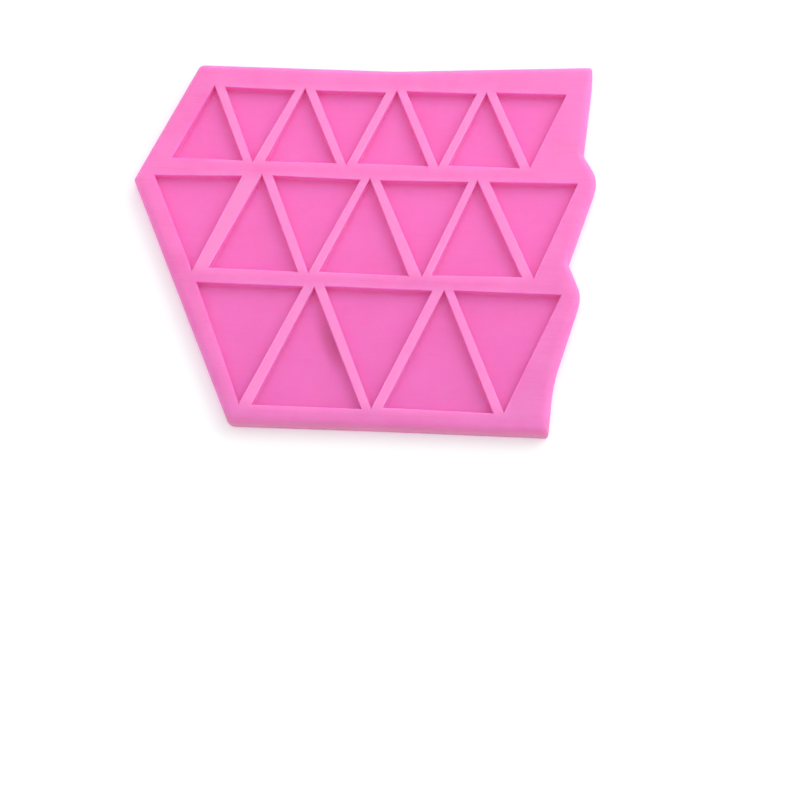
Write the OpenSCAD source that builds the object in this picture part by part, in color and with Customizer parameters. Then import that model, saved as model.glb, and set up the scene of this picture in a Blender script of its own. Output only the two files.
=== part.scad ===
// Silicone casting mould for bunting pennants.
// One flexible moulding: a flat sheet with three rows of triangular cavities.
// X runs along the rows, Y runs from the front edge to the back edge, Z is up.
// The origin is at the middle of the underside.

/* [Small pennants, back row] */
// Width of a small pennant along its top edge
small_w = 22; // [18:0.5:27]
// Length of a small pennant, from its top edge to its point
small_l = 26; // [18:0.5:36]
// Number of cavities in the back row
small_count = 8; // [6:1:8]

/* [Medium pennants, middle row] */
// Width of a medium pennant along its top edge
medium_w = 27; // [22:0.5:33]
// Length of a medium pennant, from its top edge to its point
medium_l = 32; // [22:0.5:42]
// Number of cavities in the middle row
medium_count = 7; // [6:1:7]

/* [Large pennants, front row] */
// Width of a large pennant along its top edge
large_w = 32.2; // [27:0.1:39]
// Length of a large pennant, from its top edge to its point
large_l = 38; // [28:0.5:50]
// Number of cavities in the front row
large_count = 5; // [4:1:6]

/* [Walls between the cavities] */
// Gap between two neighbouring cavities, measured along the row
rib_gap = 3.3; // [2:0.1:6]
// Extra width of the first rib in the middle row
first_rib_extra = 2.3; // [0:0.1:4]
// Width of the bar between the back row and the middle row
back_bar_w = 4.9; // [3:0.1:8]
// Width of the bar between the middle row and the front row
front_bar_w = 4.6; // [3:0.1:8]
// How far the back row starts to the right of the middle row
small_indent = 5.1; // [3:0.1:10]

/* [Thickness] */
// Depth of every cavity
cavity_depth = 2.2; // [1.4:0.1:5]
// Thickness of the sheet under the cavities
floor_t = 2.8; // [1.5:0.1:6]

/* [Outer rim] */
// Width of the left rim beside the back row
left_back_rim_w = 8.2; // [5:0.1:14]
// Width of the left rim beside the back end of the middle row
left_middle_rim_w = 6.8; // [4.5:0.1:14]
// Width of the left rim beside the front end of the front row
left_front_rim_w = 5.2; // [4.5:0.1:14]
// Width of the back rim at its left end
back_rim_w = 8.5; // [5:0.1:14]
// How far the back rim hollows in at the middle of its length
back_rim_bow = 0.5; // [0.1:0.1:2]
// Extra width of the back rim at its right end
back_rim_flare = 2.7; // [0.5:0.1:5]
// Width of the front rim at its left end
front_rim_w = 5.5; // [4.5:0.1:12]
// Extra width of the front rim at its right end
front_rim_flare = 0.7; // [0.2:0.1:3]

/* [Waved right edge] */
// Rim beyond the right end of the back row
small_end_rim = 8.1; // [5:0.1:14]
// Rim beyond the right end of the middle row, where the edge swells out
medium_end_rim = 7; // [5:0.1:14]
// Rim beyond the right end of the front row, where the edge swells out
large_end_rim = 6.5; // [5:0.1:14]
// Rim between the last cavity of the back row and the first dip
back_dip_rim = 13.9; // [8:0.1:16]
// Rim between the last cavity of the middle row and the second dip
middle_dip_rim = 8.8; // [6:0.1:14]
// Rim between the last cavity of the front row and the last bend
front_dip_rim = 9.9; // [6:0.1:14]
// Height of each dip above the front line of its row
dip_rise = 5.6; // [3:0.1:9]
// Height of the first swell above the back line of the middle row
swell_rise = 2.4; // [0:0.1:4]
// Height of the last bend above the front line of the front row
bend_rise = 10; // [5:0.5:20]
// Radius of the two swells
swell_r = 10.5; // [3:0.5:12]
// Radius of the two dips
dip_r = 3; // [1:0.1:4]

/* [Rolled outer edge] */
// How far the rounded top edge reaches in from the outline
roll_reach = 3.8; // [0.5:0.1:4]
// How far the rounded top edge drops from the top face, at most the cavity depth
roll_drop = 2.2; // [0.5:0.1:5]

/* [Hidden] */

// Heights
total_t = floor_t + cavity_depth;
drop = min(roll_drop, cavity_depth);

// Front and back line of each row, counted from the front line of the front row
large_front = 0;
large_back = large_front + large_l;
medium_front = large_back + front_bar_w;
medium_back = medium_front + medium_l;
small_front = medium_back + back_bar_w;
small_back = small_front + small_l;

// Lean of a cavity's left side: how far it moves to the right for each millimetre forward
medium_lean = medium_w / 2 / medium_l;
small_lean = small_w / 2 / small_l;

// Left end of each row; the left sides of the middle and front rows share one line
medium_left = 0;
small_left = medium_left + small_indent;
large_left = medium_left + (medium_back - large_back) * medium_lean;

// Distance from one cavity's middle to the next
function pitch(w) = w / 2 + rib_gap;

// Right end of each row
small_right = small_left + small_w + pitch(small_w) * (small_count - 1);
medium_right = medium_left + medium_w + pitch(medium_w) * (medium_count - 1) + first_rib_extra;
large_right = large_left + large_w + pitch(large_w) * (large_count - 1);

// Each row: width, length, front line, left end, count, extra on the first rib,
// and 1 when the first cavity points to the back or 0 when it points to the front
small_row = [small_w, small_l, small_front, small_left, small_count, 0, 1];
medium_row = [medium_w, medium_l, medium_front, medium_left, medium_count, first_rib_extra, 0];
large_row = [large_w, large_l, large_front, large_left, large_count, 0, 0];

function row_w(row) = row[0];
function row_front(row) = row[2];
function row_back(row) = row[2] + row[1];
function row_count(row) = row[4];
function cavity_x(row, i) = row[3] + row_w(row) / 2 + pitch(row_w(row)) * i + (i > 0 ? row[5] : 0);
function points_back(row, i) = (i + row[6]) % 2 == 1;

// Right and left side of cavity i at the front line and at the back line of its row
function half_front(row, i) = points_back(row, i) ? row_w(row) / 2 : 0;
function half_back(row, i) = points_back(row, i) ? 0 : row_w(row) / 2;
function right_side(row, i) = [
    [cavity_x(row, i) + half_front(row, i), row_front(row)],
    [cavity_x(row, i) + half_back(row, i), row_back(row)]
];
function left_side(row, i) = [
    [cavity_x(row, i) - half_front(row, i), row_front(row)],
    [cavity_x(row, i) - half_back(row, i), row_back(row)]
];

// The last cavity's right side at a height above the front line of its row
function end_side_x(row, rise) = let (side = right_side(row, row_count(row) - 1))
    side[0][0] + (side[1][0] - side[0][0]) * rise / (row_back(row) - row_front(row));

// Outline of the mould: the left side is two straight lines that meet at a tip.
// The back one runs parallel to the cavity beside it, and the front one leans in to the front.
back_y = small_back + back_rim_w;
front_y = large_front - front_rim_w;
back_side_x = small_left - left_back_rim_w * sqrt(1 + small_lean * small_lean);
middle_side_x = medium_left - left_middle_rim_w * sqrt(1 + medium_lean * medium_lean);
rim_taper = (left_middle_rim_w - left_front_rim_w) / (medium_back - large_front);
side_lean = medium_lean + rim_taper * sqrt(1 + medium_lean * medium_lean);
function back_side(y) = back_side_x + (y - small_front) * small_lean;
function front_side(y) = middle_side_x + (medium_back - y) * side_lean;
left_tip_y = (middle_side_x - back_side_x + small_front * small_lean + medium_back * side_lean)
    / (small_lean + side_lean);

back_right_x = small_right + small_end_rim;
back_middle_x = (back_side(back_y) + back_right_x) / 2;
last_bend_x = end_side_x(large_row, bend_rise) + front_dip_rim;

// The right edge starts to turn in this far behind the back row's back line
small_end_rise = 5;
// The front right corner stands this far in from the last bend
front_corner_in = 1.5;
front_right_x = last_bend_x - front_corner_in;
// Share of the front rim's flare that is reached at the middle of its length
front_flare_share = 0.25;

// Radii of the outline's corners
sharp_r = 0.8;
tip_r = 1.5;
back_left_r = 2;
front_left_r = 3;
bend_r = 45;
bow_r = 60;

// Corners, clockwise from the left tip: [x, y, radius of the round]
corners = [
    [back_side(left_tip_y), left_tip_y, tip_r],
    [back_side(back_y), back_y, back_left_r],
    [back_middle_x, back_y - back_rim_bow, bow_r],
    [back_right_x, back_y + back_rim_flare, sharp_r],
    [back_right_x, small_back + small_end_rise, bend_r],
    [end_side_x(small_row, dip_rise) + back_dip_rim, small_front + dip_rise, dip_r],
    [medium_right + medium_end_rim, medium_back + swell_rise, swell_r],
    [end_side_x(medium_row, dip_rise) + middle_dip_rim, medium_front + dip_rise, dip_r],
    [large_right + large_end_rim, large_back, swell_r],
    [last_bend_x, large_front + bend_rise, bend_r],
    [front_right_x, front_y - front_rim_flare, sharp_r],
    [back_middle_x, front_y - front_rim_flare * front_flare_share, bow_r],
    [front_side(front_y), front_y, front_left_r]
];

// Most that the outline turns, in degrees, from one facet of a rounded corner to the next
facet_turn = 8;
// Facets from the side to the top of the rolled edge
roll_steps = 8;
// Shape of the roll: above 2, the first eases it in over the top; below 2, the second slims its side
roll_ease = 3;
roll_side = 1.8;
// How much a corner's round grows for each millimetre that the corner moves in
round_growth = 0.4;
// Most of a side that one corner's round may take
most_of_side = 0.48;

function unit(v) = v / norm(v);
function corner_xy(list, i) = let (c = list[(i + len(list)) % len(list)]) [c[0], c[1]];
function to_next(list, i) = unit(corner_xy(list, i + 1) - corner_xy(list, i));
function side_len(list, i) = norm(corner_xy(list, i + 1) - corner_xy(list, i));
function cross2(a, b) = a[0] * b[1] - a[1] * b[0];
function turn(list, i) = let (a = to_next(list, i - 1), b = to_next(list, i)) atan2(cross2(a, b), a * b);

// Corners moved in by d, square to both sides; their rounds grow a little, which keeps them soft
function moved_in(list, d) = [
    for (i = [0 : len(list) - 1])
        let (
            a = to_next(list, i - 1),
            b = to_next(list, i),
            inward = unit([a[1] + b[1], -a[0] - b[0]]),
            p = corner_xy(list, i) + inward * d / cos(turn(list, i) / 2)
        )
        [p[0], p[1], list[i][2] + d * round_growth]
];

// The rounded outline: an arc at each corner, never longer than half of a side
function outline(list) = [
    for (i = [0 : len(list) - 1])
        let (
            a = to_next(list, i - 1),
            b = to_next(list, i),
            bend = turn(list, i),
            room = min(side_len(list, i - 1), side_len(list, i)) * most_of_side,
            cut = min(list[i][2] * tan(abs(bend) / 2), room),
            r = cut / tan(abs(bend) / 2),
            start = corner_xy(list, i) - a * cut,
            hub = start + [-a[1], a[0]] * r * sign(bend),
            steps = ceil(abs(bend) / facet_turn)
        )
        for (k = [0 : steps])
            let (
                s = bend * k / steps,
                v = start - hub
            )
            hub + [v[0] * cos(s) - v[1] * sin(s), v[0] * sin(s) + v[1] * cos(s)]
];

base_outline = outline(corners);

// Middle of the outline's box, which goes to the origin
function low(list, axis) = min([for (p = list) p[axis]]);
function high(list, axis) = max([for (p = list) p[axis]]);
middle_x = (low(base_outline, 0) + high(base_outline, 0)) / 2;
middle_y = (low(base_outline, 1) + high(base_outline, 1)) / 2;

// Levels of the rolled edge: [height, distance in from the outline]
levels = concat(
    drop < cavity_depth ? [[floor_t, 0]] : [],
    [
        for (k = [0 : roll_steps])
            let (s = 90 * k / roll_steps)
            [
                total_t - drop * (1 - pow(sin(s), 2 / roll_side)),
                roll_reach * (1 - pow(cos(s), 2 / roll_ease))
            ]
    ]
);

// Where a region is cut out of the top layer, its outer sides lie past the outline,
// and the cut runs past the layer's top and bottom
beyond = 40;
past = 1;
far_left = middle_side_x - beyond;
far_right = max(small_right, medium_right, large_right) + beyond;
far_front = front_y - beyond;
far_back = back_y + beyond;

small_ribs = [for (i = [1 : small_count - 1]) str("small_rib_", i)];
medium_ribs = [for (i = [1 : medium_count - 1]) str("medium_rib_", i)];
large_ribs = [for (i = [1 : large_count - 1]) str("large_rib_", i)];

module centred() {
    translate([-middle_x, -middle_y, 0]) children();
}

// The whole top layer with its rolled outer edge, before the cavities divide it
module top_layer() {
    rings = [for (level = levels) outline(moved_in(corners, level[1]))];
    n = len(base_outline);
    last = len(levels) - 1;
    points = [
        for (k = [0 : last])
            for (p = rings[k])
                [p[0], p[1], levels[k][0]]
    ];
    sides = [
        for (k = [0 : last - 1])
            for (i = [0 : n - 1])
                let (j = (i + 1) % n)
                each [
                    [k * n + i, k * n + j, (k + 1) * n + j],
                    [k * n + i, (k + 1) * n + j, (k + 1) * n + i]
                ]
    ];
    bottom = [for (i = [0 : n - 1]) n - 1 - i];
    top = [for (i = [0 : n - 1]) last * n + i];
    polyhedron(points, faces = concat([bottom], sides, [top]));
}

// A region of the top layer, bounded in plan by straight lines
module region(points) {
    color("hotpink")
        centred()
            intersection() {
                top_layer();
                translate([0, 0, floor_t - past])
                    linear_extrude(cavity_depth + 2 * past)
                        polygon(points);
            }
}

module base_sheet() {
    color("hotpink")
        centred()
            linear_extrude(floor_t)
                polygon(base_outline);
}

module across(front, back) {
    region([[far_left, front], [far_right, front], [far_right, back], [far_left, back]]);
}

module left_rim(row) {
    side = left_side(row, 0);
    region([[far_left, row_front(row)], side[0], side[1], [far_left, row_back(row)]]);
}

module right_rim(row) {
    side = right_side(row, row_count(row) - 1);
    region([side[0], [far_right, row_front(row)], [far_right, row_back(row)], side[1]]);
}

// The rib between cavity i - 1 and cavity i of a row
module rib(row, i) {
    west = right_side(row, i - 1);
    east = left_side(row, i);
    color("hotpink")
        centred()
            translate([0, 0, floor_t])
                linear_extrude(cavity_depth)
                    polygon([west[0], east[0], east[1], west[1]]);
}

base_sheet();
across(small_back, far_back);  // back_rim
across(far_front, large_front);  // front_rim
across(medium_back, small_front);  // back_bar
across(large_back, medium_front);  // front_bar
left_rim(small_row);  // small_left_rim
left_rim(medium_row);  // medium_left_rim
left_rim(large_row);  // large_left_rim
right_rim(small_row);  // small_right_rim
right_rim(medium_row);  // medium_right_rim
right_rim(large_row);  // large_right_rim
for (i = [1 : small_count - 1])
    rib(small_row, i);
for (i = [1 : medium_count - 1])
    rib(medium_row, i);
for (i = [1 : large_count - 1])
    rib(large_row, i);
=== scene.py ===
import math

import bpy
import mathutils
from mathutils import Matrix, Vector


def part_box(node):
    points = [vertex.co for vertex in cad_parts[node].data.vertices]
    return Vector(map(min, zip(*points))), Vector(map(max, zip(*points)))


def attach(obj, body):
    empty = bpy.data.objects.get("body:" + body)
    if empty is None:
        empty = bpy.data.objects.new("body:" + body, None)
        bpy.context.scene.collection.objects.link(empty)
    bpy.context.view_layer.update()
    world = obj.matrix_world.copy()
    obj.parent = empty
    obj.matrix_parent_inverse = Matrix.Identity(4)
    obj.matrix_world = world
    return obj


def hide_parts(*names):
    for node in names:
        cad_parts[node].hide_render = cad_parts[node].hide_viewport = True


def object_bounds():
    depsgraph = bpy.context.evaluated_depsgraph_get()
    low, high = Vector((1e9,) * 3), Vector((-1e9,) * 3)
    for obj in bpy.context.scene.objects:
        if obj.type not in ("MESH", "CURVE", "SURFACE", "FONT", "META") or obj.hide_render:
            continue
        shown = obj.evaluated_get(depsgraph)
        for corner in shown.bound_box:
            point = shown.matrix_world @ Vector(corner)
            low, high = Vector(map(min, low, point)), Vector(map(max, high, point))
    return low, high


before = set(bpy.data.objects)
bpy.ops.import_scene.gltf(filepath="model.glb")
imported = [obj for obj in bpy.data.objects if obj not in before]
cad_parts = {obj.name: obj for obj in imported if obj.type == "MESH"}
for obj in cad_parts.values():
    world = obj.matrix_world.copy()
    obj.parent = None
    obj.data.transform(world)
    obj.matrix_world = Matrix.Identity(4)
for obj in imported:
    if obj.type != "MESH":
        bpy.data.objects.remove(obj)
cad_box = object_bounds()


# ---- Camera -----------------------------------------------------------------
# A camera on a stand in front of the table looks down on the mould. It stands a
# little right of the middle and is turned slightly to the left.

MM = 0.001
camera_place = (22.53 * MM, -197.49 * MM, 426.14 * MM)
camera_heading = math.radians(3.597)
camera_tilt = math.radians(19.043)
camera_roll = math.radians(-1.657)

camera = bpy.data.objects.new("camera", bpy.data.cameras.new("camera"))
bpy.context.collection.objects.link(camera)
camera.matrix_world = (
    mathutils.Matrix.Translation(camera_place)
    @ mathutils.Matrix.Rotation(camera_heading, 4, "Z")
    @ mathutils.Matrix.Rotation(camera_tilt, 4, "X")
    @ mathutils.Matrix.Rotation(camera_roll, 4, "Z")
)
camera.data.sensor_width = 36
camera.data.lens = 68.57
camera.data.clip_start = 0.01
camera.data.clip_end = 10
bpy.context.scene.camera = camera


# ---- Mould body -------------------------------------------------------------
# The whole mould is one casting of soft pink silicone, poured in one go over a
# master, so it has no seams. Its regions are copied from the frame and welded
# into one piece here, and its bottom edge is slightly rounded.

sheet_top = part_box("base_sheet")[1].z
body_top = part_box("back_rim")[1].z
weld_gap = 0.002 * MM
same_plane = math.radians(0.15)
bottom_round = 0.45 * MM
round_steps = 3


def only(*pieces):
    """Leaves just these pieces selected, the first one active."""
    bpy.ops.object.select_all(action="DESELECT")
    for piece in pieces:
        piece.select_set(True)
    bpy.context.view_layer.objects.active = pieces[0]


def pick(piece, kind, wanted):
    """Opens a piece in edit mode with just the wanted faces, edges or points selected."""
    only(piece)
    bpy.ops.object.mode_set(mode="EDIT")
    bpy.ops.mesh.select_mode(type=kind)
    bpy.ops.mesh.select_all(action="DESELECT")
    bpy.ops.object.mode_set(mode="OBJECT")
    items = {"FACE": piece.data.polygons, "EDGE": piece.data.edges, "VERT": piece.data.vertices}
    for item in items[kind]:
        item.select = wanted(item)
    bpy.ops.object.mode_set(mode="EDIT")


def clean(piece):
    """Merges a piece's loose triangles, and joins those that lie in one plane."""
    pick(piece, "VERT", lambda point: True)
    bpy.ops.mesh.remove_doubles(threshold=weld_gap)
    bpy.ops.mesh.dissolve_limited(angle_limit=same_plane)
    bpy.ops.object.mode_set(mode="OBJECT")


def round_off(size):
    """Rounds the edges that are selected, and closes edit mode."""
    bpy.ops.mesh.bevel(offset=size, segments=round_steps, affect="EDGES", clamp_overlap=False)
    bpy.ops.object.mode_set(mode="OBJECT")


regions = {}
for name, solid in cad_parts.items():
    regions[name] = bpy.data.objects.new(name + "_copy", solid.data.copy())
    regions[name].data.materials.clear()
    bpy.context.collection.objects.link(regions[name])
    clean(regions[name])

mould = regions.pop("base_sheet")
mould.name = "mould_body"
only(*regions.values())
bpy.ops.object.join()
upper = bpy.context.active_object

only(mould)
weld = mould.modifiers.new("weld", "BOOLEAN")
weld.operation = "UNION"
weld.solver = "EXACT"
weld.use_self = True
weld.object = upper
bpy.ops.object.modifier_apply(modifier=weld.name)
bpy.data.objects.remove(upper)
clean(mould)

pick(mould, "FACE", lambda face: face.center.z < weld_gap)
bpy.ops.mesh.region_to_loop()
round_off(bottom_round)


# ---- Cavities ---------------------------------------------------------------
# Twenty pennant cavities in three rows. The master's pennants were laid down by
# hand, so each cavity sits a little turned and shifted. Their edges are crisp,
# with a hair of rounding at the top and a small fillet round the floor.

# Each row: width of a pennant, whether the first one points to the back, and for
# each pennant its turn in degrees and its shift to the right and to the back in mm
rows = {
    "small": (22 * MM, True, [
        (-0.8, -0.2, 0.3), (-1.4, -0.1, -0.3), (0.0, 0.0, 0.1), (-0.4, 0.1, -0.5),
        (-0.8, 0.1, 0.1), (-0.6, 0.0, -0.1), (-0.7, -0.3, 0.2), (-0.2, -0.4, 0.3),
    ]),
    "medium": (27 * MM, False, [
        (1.0, 0.1, -0.5), (-1.1, 0.1, 0.4), (-1.4, 0.3, -0.1), (-1.0, -0.1, 0.1),
        (0.5, 0.3, -0.3), (0.6, 0.0, 0.3), (0.5, 0.3, 0.1),
    ]),
    "large": (32.2 * MM, False, [
        (-1.0, 0.0, 0.2), (-0.4, 0.1, -0.1), (-0.9, 0.0, 0.0), (-1.2, 0.0, 0.0),
        (-0.8, -0.1, -0.1),
    ]),
}
corner_reach = 0.05 * MM

for row_name, (width, first_points_back, laid) in rows.items():
    low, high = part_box(row_name + "_rib_1")
    front, back = low.y, high.y
    # A rib's box runs from the middle of one cavity to the middle of the next
    middles = [low.x]
    for number in range(1, len(laid)):
        middles.append(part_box(f"{row_name}_rib_{number}")[1].x)
    for number, (turn, right, backward) in enumerate(laid):
        middle = middles[number]
        points_back = first_points_back == (number % 2 == 0)
        wide_end, point_end = (front, back) if points_back else (back, front)
        corners = [
            (middle - width / 2, wide_end),
            (middle + width / 2, wide_end),
            (middle, point_end),
        ]
        heart = (middle, (2 * wide_end + point_end) / 3, 0)

        def on_corner(point):
            return point.co.z > sheet_top - corner_reach and any(
                math.hypot(point.co.x - x, point.co.y - y) < corner_reach
                for x, y in corners
            )

        pick(mould, "VERT", on_corner)
        bpy.ops.transform.rotate(
            value=-math.radians(turn), orient_axis="Z", center_override=heart
        )
        bpy.ops.transform.translate(value=(right * MM, backward * MM, 0))
        bpy.ops.object.mode_set(mode="OBJECT")


# Slots of the mould's three finishes
SATIN, GLOSSY, POURED = range(3)

upright = 0.05
level = 0.9
clear_of_ends = 0.5 * MM


def is_wall(face):
    height = face.center.z
    between_ends = sheet_top + clear_of_ends < height < body_top - clear_of_ends
    return abs(face.normal.z) < upright and between_ends


def is_floor(face):
    return face.normal.z > level and abs(face.center.z - sheet_top) < weld_gap


for face in mould.data.polygons:
    if is_wall(face) or is_floor(face):
        face.material_index = GLOSSY
    elif face.center.z < bottom_round:
        face.material_index = POURED
    else:
        face.material_index = SATIN


def pick_wall_edges(height):
    """Selects the edges of the cavity walls that lie at this height."""
    keys = {key for face in mould.data.polygons if is_wall(face) for key in face.edge_keys}
    points = mould.data.vertices
    pick(
        mould,
        "EDGE",
        lambda edge: edge.key in keys
        and all(abs(points[index].co.z - height) < weld_gap for index in edge.vertices),
    )


floor_fillet = 0.36 * MM
top_round = 0.3 * MM
crease = math.radians(35)

pick_wall_edges(sheet_top)
round_off(floor_fillet)
pick_wall_edges(body_top)
round_off(top_round)

only(mould)
bpy.ops.object.shade_smooth_by_angle(angle=crease)
even_shading = mould.modifiers.new("even_shading", "WEIGHTED_NORMAL")
even_shading.weight = 100
even_shading.keep_sharp = True
bpy.ops.object.modifier_apply(modifier=even_shading.name)

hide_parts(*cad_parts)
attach(mould, "root")


# ---- Silicone ---------------------------------------------------------------
# Casting silicone tinted bright pink: soft, a little see-through at thin walls,
# and cloudy where the pigment was not stirred in evenly. The top is satin, the
# cavities keep the gloss of the master, and the poured underside is smooth. The
# cavities' deeper, more saturated pink is painted shade.


def group(name, inputs, outputs):
    """An empty node group with these sockets, each given as (name, kind, value)."""
    made = bpy.data.node_groups.new(name, "ShaderNodeTree")
    kinds = {"colour": "NodeSocketColor", "number": "NodeSocketFloat"}
    for label, kind, value in inputs:
        socket = made.interface.new_socket(label, in_out="INPUT", socket_type=kinds[kind])
        socket.default_value = value
    for label, kind in outputs:
        made.interface.new_socket(label, in_out="OUTPUT", socket_type=kinds[kind])
    return made, made.nodes.new("NodeGroupInput"), made.nodes.new("NodeGroupOutput")


def node(tree, kind, **settings):
    """A node of this kind; a setting in capitals is a socket's value."""
    made = tree.nodes.new("ShaderNode" + kind)
    for label, value in settings.items():
        if label[0].isupper():
            made.inputs[label.replace("_", " ")].default_value = value
        else:
            setattr(made, label, value)
    return made


def multiply(tree, first, second):
    """Multiplies two number sockets and gives the result's socket."""
    product = node(tree, "Math", operation="MULTIPLY")
    tree.links.new(first, product.inputs[0])
    tree.links.new(second, product.inputs[1])
    return product.outputs[0]


def sway(tree, noise, amount, middle):
    """Moves a number socket up and down around its value, as a noise socket says."""
    centred = node(tree, "Math", operation="SUBTRACT")
    centred.inputs[1].default_value = 0.5
    swayed = node(tree, "Math", operation="MULTIPLY_ADD")
    tree.links.new(noise, centred.inputs[0])
    tree.links.new(centred.outputs[0], swayed.inputs[0])
    tree.links.new(amount, swayed.inputs[1])
    tree.links.new(middle, swayed.inputs[2])
    return swayed.outputs[0]


# Sockets of a Mix node's two colours and of the colour it gives
MIX_FIRST, MIX_SECOND, MIXED = 6, 7, 2


def mix_colours(tree, share, first, second):
    """Mixes two colour sockets by a share socket and gives the result's socket."""
    mixer = node(tree, "Mix", data_type="RGBA")
    tree.links.new(share, mixer.inputs["Factor"])
    tree.links.new(first, mixer.inputs[MIX_FIRST])
    tree.links.new(second, mixer.inputs[MIX_SECOND])
    return mixer.outputs[MIXED]


# Pigment clouds: soft patches, 5 to 20 mm across, where the tint is deeper, with fine
# strands along the rows; and painted shade, duller and more mauve towards the front edge
clouds_and_front_shade, start, end = group(
    "pigment_clouds_and_front_shade",
    [
        ("Colour", "colour", (1, 1, 1, 1)),
        ("Deep Colour", "colour", (1, 1, 1, 1)),
        ("Patches Per Metre", "number", 80),
        ("Amount", "number", 0.5),
        ("Strands", "number", 0.9),
    ],
    [("Colour", "colour")],
)
place = node(clouds_and_front_shade, "TexCoord")
patches = node(clouds_and_front_shade, "TexNoise", Detail=3, Roughness=0.6)
spread = node(clouds_and_front_shade, "MapRange", From_Min=0.35, From_Max=0.68)
clouds_and_front_shade.links.new(place.outputs["Object"], patches.inputs["Vector"])
clouds_and_front_shade.links.new(start.outputs["Patches Per Metre"], patches.inputs["Scale"])
clouds_and_front_shade.links.new(patches.outputs["Fac"], spread.inputs["Value"])
cloudy = multiply(clouds_and_front_shade, spread.outputs["Result"], start.outputs["Amount"])

along = node(clouds_and_front_shade, "Mapping", Scale=(90, 2200, 90))
strands = node(clouds_and_front_shade, "TexNoise", Scale=1, Detail=2)
clouds_and_front_shade.links.new(place.outputs["Object"], along.inputs["Vector"])
clouds_and_front_shade.links.new(along.outputs["Vector"], strands.inputs["Vector"])
cloudy = sway(clouds_and_front_shade, strands.outputs["Fac"], start.outputs["Strands"], cloudy)
tinted = mix_colours(clouds_and_front_shade, cloudy, start.outputs["Colour"], start.outputs["Deep Colour"])

# Painted shade: the colour is multiplied darker, mostly in red, towards the front edge
position = node(clouds_and_front_shade, "SeparateXYZ")
front_shade_share = node(clouds_and_front_shade, "MapRange", From_Min=20 * MM, From_Max=-60 * MM, To_Max=0.9)
painted_front_shade = node(clouds_and_front_shade, "Mix", data_type="RGBA", blend_type="MULTIPLY")
painted_front_shade.inputs[MIX_SECOND].default_value = (0.87, 0.98, 0.96, 1)
clouds_and_front_shade.links.new(place.outputs["Object"], position.inputs["Vector"])
clouds_and_front_shade.links.new(position.outputs["Y"], front_shade_share.inputs["Value"])
clouds_and_front_shade.links.new(front_shade_share.outputs["Result"], painted_front_shade.inputs["Factor"])
clouds_and_front_shade.links.new(tinted, painted_front_shade.inputs[MIX_FIRST])
clouds_and_front_shade.links.new(painted_front_shade.outputs[MIXED], end.inputs["Colour"])

# Skin grain: the stipple of the set surface over slow hollows of a soft sheet
grain, start, end = group(
    "skin_grain",
    [
        ("Stipple", "number", 0.1),
        ("Hollows", "number", 1.0),
        ("Roughness", "number", 0.5),
        ("Roughness Spread", "number", 0.1),
    ],
    [("Height", "number"), ("Roughness", "number")],
)
place = node(grain, "TexCoord")
stipple = node(grain, "TexNoise", Scale=2600, Detail=2)
hollows = node(grain, "TexNoise", Scale=55, Detail=1)
rubbed = node(grain, "TexNoise", Scale=210, Detail=4, Roughness=0.7)
for texture in (stipple, hollows, rubbed):
    grain.links.new(place.outputs["Object"], texture.inputs["Vector"])
height = node(grain, "Math", operation="ADD")
fine = multiply(grain, stipple.outputs["Fac"], start.outputs["Stipple"])
slow = multiply(grain, hollows.outputs["Fac"], start.outputs["Hollows"])
worn = sway(
    grain,
    rubbed.outputs["Fac"],
    start.outputs["Roughness Spread"],
    start.outputs["Roughness"],
)
grain.links.new(fine, height.inputs[0])
grain.links.new(slow, height.inputs[1])
grain.links.new(height.outputs[0], end.inputs["Height"])
grain.links.new(worn, end.inputs["Roughness"])

# Painted glow: the ribs between the cavities let light through, so their tops are painted
# paler than the bars and the rims, standing in for that light
thin, start, end = group(
    "thin_walls_painted_glow",
    [
        ("Colour", "colour", (1, 1, 1, 1)),
        ("Thin Colour", "colour", (1, 1, 1, 1)),
        ("Amount", "number", 1.0),
    ],
    [("Colour", "colour")],
)
fade = 2 * MM


def between(tree, place, low, high):
    """A mask that is 1 between two places along an axis and fades out around them."""
    rise = node(tree, "MapRange", From_Min=low - fade, From_Max=low + fade)
    fall = node(tree, "MapRange", From_Min=high + fade, From_Max=high - fade)
    tree.links.new(place, rise.inputs["Value"])
    tree.links.new(place, fall.inputs["Value"])
    return multiply(tree, rise.outputs["Result"], fall.outputs["Result"])


place = node(thin, "TexCoord")
position = node(thin, "SeparateXYZ")
thin.links.new(place.outputs["Object"], position.inputs["Vector"])
paler = start.outputs["Colour"]
for row_name, (_, _, laid) in rows.items():
    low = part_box(row_name + "_rib_1")[0]
    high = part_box(f"{row_name}_rib_{len(laid) - 1}")[1]
    in_row = multiply(
        thin,
        between(thin, position.outputs["X"], low.x, high.x),
        between(thin, position.outputs["Y"], low.y, high.y),
    )
    share = multiply(thin, in_row, start.outputs["Amount"])
    paler = mix_colours(thin, share, paler, start.outputs["Thin Colour"])
thin.links.new(paler, end.inputs["Colour"])

# Dust: the few pale specks that silicone always picks up; and painted shade: a dull, darker
# film down the front edge, standing in for the shade on the side facing away from the light
dust_and_edge_shade, start, end = group(
    "dust_specks_and_edge_shade",
    [
        ("Colour", "colour", (1, 1, 1, 1)),
        ("Dust Colour", "colour", (1, 1, 1, 1)),
        ("Amount", "number", 0.3),
        ("Film Colour", "colour", (1, 1, 1, 1)),
        ("Shade", "number", 0.0),
    ],
    [("Colour", "colour")],
)
place = node(dust_and_edge_shade, "TexCoord")
cells = node(dust_and_edge_shade, "TexVoronoi", Scale=420, Randomness=1)
speck = node(dust_and_edge_shade, "MapRange", From_Min=0.05, From_Max=0.09, To_Min=1, To_Max=0)
gathered = node(dust_and_edge_shade, "TexNoise", Scale=90, Detail=2)
few = node(dust_and_edge_shade, "MapRange", From_Min=0.55, From_Max=0.7)
dust_and_edge_shade.links.new(place.outputs["Object"], cells.inputs["Vector"])
dust_and_edge_shade.links.new(place.outputs["Object"], gathered.inputs["Vector"])
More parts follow.
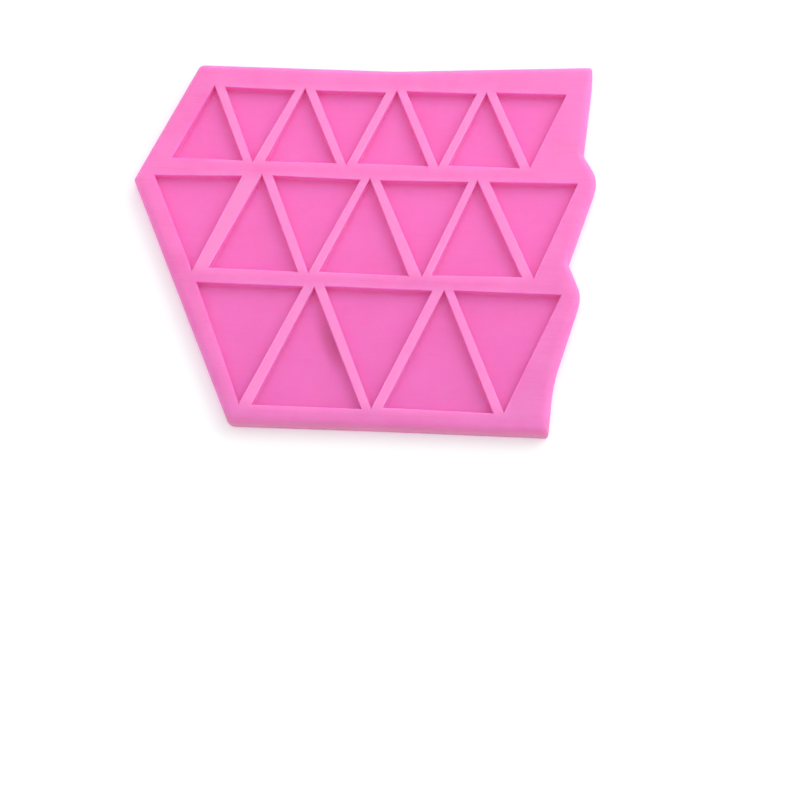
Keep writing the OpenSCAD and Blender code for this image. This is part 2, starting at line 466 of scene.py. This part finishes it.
dust_and_edge_shade.links.new(cells.outputs["Distance"], speck.inputs["Value"])
dust_and_edge_shade.links.new(gathered.outputs["Fac"], few.inputs["Value"])
dusted = multiply(dust_and_edge_shade, speck.outputs["Result"], few.outputs["Result"])
dusted = multiply(dust_and_edge_shade, dusted, start.outputs["Amount"])

# The painted shade is full below one height and in front of one line, and none past the others
edge_shade_none_height = body_top - 0.1 * MM
edge_shade_full_height = body_top - 1.8 * MM
front_edge = cad_box[0][1]
edge_shade_none_line = front_edge + 6 * MM
edge_shade_full_line = front_edge + 3 * MM
position = node(dust_and_edge_shade, "SeparateXYZ")
depth = node(dust_and_edge_shade, "MapRange", From_Min=edge_shade_none_height, From_Max=edge_shade_full_height)
near_front = node(dust_and_edge_shade, "MapRange", From_Min=edge_shade_none_line, From_Max=edge_shade_full_line)
dust_and_edge_shade.links.new(place.outputs["Object"], position.inputs["Vector"])
dust_and_edge_shade.links.new(position.outputs["Z"], depth.inputs["Value"])
dust_and_edge_shade.links.new(position.outputs["Y"], near_front.inputs["Value"])
edge_shade = multiply(dust_and_edge_shade, depth.outputs["Result"], near_front.outputs["Result"])
edge_shade = multiply(dust_and_edge_shade, edge_shade, start.outputs["Shade"])
edge_shaded = mix_colours(dust_and_edge_shade, edge_shade, start.outputs["Colour"], start.outputs["Film Colour"])
specked_and_edge_shaded = mix_colours(dust_and_edge_shade, dusted, edge_shaded, start.outputs["Dust Colour"])
dust_and_edge_shade.links.new(specked_and_edge_shaded, end.inputs["Colour"])

# Painted shadow: a soft dark patch painted on the floor of one front cavity, beside its right
# wall, where the rib's shadow falls
shadow_middle = (-8.2 * MM, -34.5 * MM, sheet_top)
shadow_turn = (0, 0, math.radians(22))
shadow_reach = (4 * MM, 13 * MM, 2 * MM)

smudge, start, end = group(
    "smudge",
    [
        ("Colour", "colour", (1, 1, 1, 1)),
        ("Smudge Colour", "colour", (1, 1, 1, 1)),
        ("Amount", "number", 0.5),
    ],
    [("Colour", "colour")],
)
place = node(smudge, "TexCoord")
turned = node(smudge, "Mapping", vector_type="TEXTURE")
turned.inputs["Location"].default_value = shadow_middle
turned.inputs["Rotation"].default_value = shadow_turn
turned.inputs["Scale"].default_value = shadow_reach
away = node(smudge, "VectorMath", operation="LENGTH")
shadow_falloff = node(smudge, "MapRange", From_Min=1, From_Max=0.1, interpolation_type="SMOOTHSTEP")
smudge.links.new(place.outputs["Object"], turned.inputs["Vector"])
smudge.links.new(turned.outputs["Vector"], away.inputs[0])
smudge.links.new(away.outputs["Value"], shadow_falloff.inputs["Value"])
shadow_share = multiply(smudge, shadow_falloff.outputs["Result"], start.outputs["Amount"])
shadowed = mix_colours(smudge, shadow_share, start.outputs["Colour"], start.outputs["Smudge Colour"])
smudge.links.new(shadowed, end.inputs["Colour"])


def silicone(name, colour, deep_colour, cloud_amount, roughness, stipple, dusty, edge):
    """A finish of the tinted silicone; edge is how much its painted glow on the thin ribs and its
    painted shade down the front edge show.
    """
    made = bpy.data.materials.new(name)
    made.use_nodes = True
    tree = made.node_tree
    skin = tree.nodes["Principled BSDF"]
    skin.inputs["IOR"].default_value = 1.41
    skin.inputs["Subsurface Weight"].default_value = 0.8
    skin.inputs["Subsurface Radius"].default_value = (1.0, 0.2, 0.5)
    skin.inputs["Subsurface Scale"].default_value = 4 * MM
    tint = node(tree, "Group", node_tree=clouds_and_front_shade, Colour=colour, Deep_Colour=deep_colour)
    tint.inputs["Amount"].default_value = cloud_amount
    # Painted glow: the ribs' tops are painted paler, standing in for light passing through them
    pale = node(tree, "Group", node_tree=thin, Thin_Colour=(0.91, 0.275, 0.61, 1), Amount=edge)
    specks_and_edge_shade = node(tree, "Group", node_tree=dust_and_edge_shade, Dust_Colour=(1.0, 0.62, 0.82, 1), Amount=dusty)
    # Painted shade: a darker, duller pink down the front edge
    specks_and_edge_shade.inputs["Film Colour"].default_value = (0.62, 0.21, 0.33, 1)
    specks_and_edge_shade.inputs["Shade"].default_value = 0.7 * edge
    # Painted shadow: a dark patch beside one front cavity's right wall
    shadow_patch = node(tree, "Group", node_tree=smudge, Smudge_Colour=(0.68, 0.10, 0.34, 1), Amount=0.7)
    feel = node(tree, "Group", node_tree=grain, Stipple=stipple, Roughness=roughness)
    bump = node(tree, "Bump", Strength=1, Distance=0.1 * MM)
    tree.links.new(tint.outputs["Colour"], pale.inputs["Colour"])
    tree.links.new(pale.outputs["Colour"], specks_and_edge_shade.inputs["Colour"])
    tree.links.new(specks_and_edge_shade.outputs["Colour"], shadow_patch.inputs["Colour"])
    tree.links.new(shadow_patch.outputs["Colour"], skin.inputs["Base Color"])
    tree.links.new(feel.outputs["Roughness"], skin.inputs["Roughness"])
    tree.links.new(feel.outputs["Height"], bump.inputs["Height"])
    tree.links.new(bump.outputs["Normal"], skin.inputs["Normal"])
    mould.data.materials.append(made)


# In the order of the slots: satin, glossy, poured
silicone(
    "silicone_satin",
    colour=(0.92, 0.225, 0.585, 1),
    deep_colour=(0.86, 0.175, 0.51, 1),
    cloud_amount=0.65,
    roughness=0.5,
    stipple=0.12,
    dusty=0.25,
    edge=1,
)
# Painted shade: the cavities' deeper, more saturated pink stands in for the shade inside them
silicone(
    "silicone_glossy_shaded",
    colour=(0.94, 0.18, 0.56, 1),
    deep_colour=(0.91, 0.155, 0.52, 1),
    cloud_amount=0.6,
    roughness=0.34,
    stipple=0.05,
    dusty=0.2,
    edge=0,
)
silicone(
    "silicone_poured",
    colour=(0.91, 0.2, 0.57, 1),
    deep_colour=(0.87, 0.16, 0.52, 1),
    cloud_amount=0.8,
    roughness=0.22,
    stipple=0.0,
    dusty=0.5,
    edge=0,
)


# ---- Table and light --------------------------------------------------------
# A plain white table under a large soft light that stands low behind the mould
# on its right, with white walls all round.

# The table lies a hair below the mould, so that their faces don't coincide
table_gap = 0.02 * MM
bpy.ops.mesh.primitive_plane_add(size=4, location=(0, 0, -table_gap))
table_top = bpy.context.active_object
table_top.name = "table_top"
white = bpy.data.materials.new("white_table")
white.use_nodes = True
paint = white.node_tree.nodes["Principled BSDF"]
paint.inputs["Base Color"].default_value = (0.95, 0.95, 0.95, 1)
paint.inputs["Roughness"].default_value = 0.9
paint.inputs["Emission Color"].default_value = (1, 1, 1, 1)
paint.inputs["Emission Strength"].default_value = 0.12
table_top.data.materials.append(white)

room = bpy.data.worlds.new("room")
room.use_nodes = True
room.node_tree.nodes["Background"].inputs["Color"].default_value = (1, 1, 1, 1)
room.node_tree.nodes["Background"].inputs["Strength"].default_value = 0.86
bpy.context.scene.world = room

# The light is turned to the middle of the mould's underside, the frame's origin
lamp_place = mathutils.Vector((0.85, 1.05, 0.7))
lamp = bpy.data.objects.new("softbox", bpy.data.lights.new("softbox", "AREA"))
bpy.context.collection.objects.link(lamp)
lamp.data.shape = "RECTANGLE"
lamp.data.size = 2.4
lamp.data.size_y = 1.0
lamp.data.energy = 17
lamp.location = lamp_place
lamp.rotation_euler = lamp_place.to_track_quat("Z", "Y").to_euler()

view_settings = bpy.context.scene.view_settings
view_settings.view_transform = "Standard"
view_settings.look = "None"
